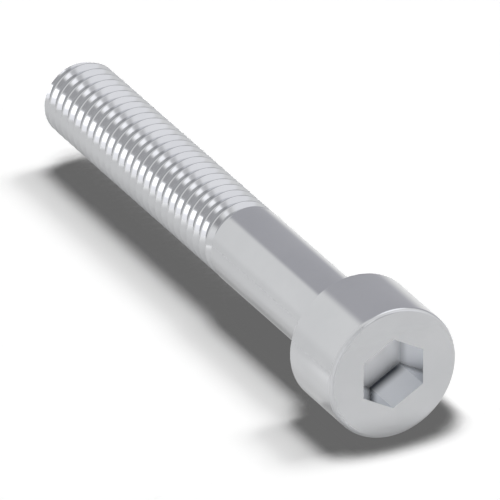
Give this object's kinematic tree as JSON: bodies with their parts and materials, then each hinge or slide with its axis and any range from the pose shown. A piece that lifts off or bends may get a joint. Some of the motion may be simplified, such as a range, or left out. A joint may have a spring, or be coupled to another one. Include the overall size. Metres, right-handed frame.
{
  "type": "hexagon socket head cap screw",
  "caption": "Round-headed machine screw with a hexagon socket in a cylindrical head, a plain shank and a rolled coarse metric thread with a chamfered point.",
  "frame": {"origin": "centre of the head's flat socketed end, the plane that the screw stands on", "axes": "+Z along the screw's axis from the head to the point; two corners of the hexagon socket lie on the Y axis"},
  "size_m": [0.0085, 0.0084, 0.04],
  "materials": {
    "zinc_plated_steel": "bright zinc plating on smooth forged and rolled steel"
  },
  "bodies": {
    "root": {"screw": "zinc_plated_steel"}
  },
  "joints": []
}
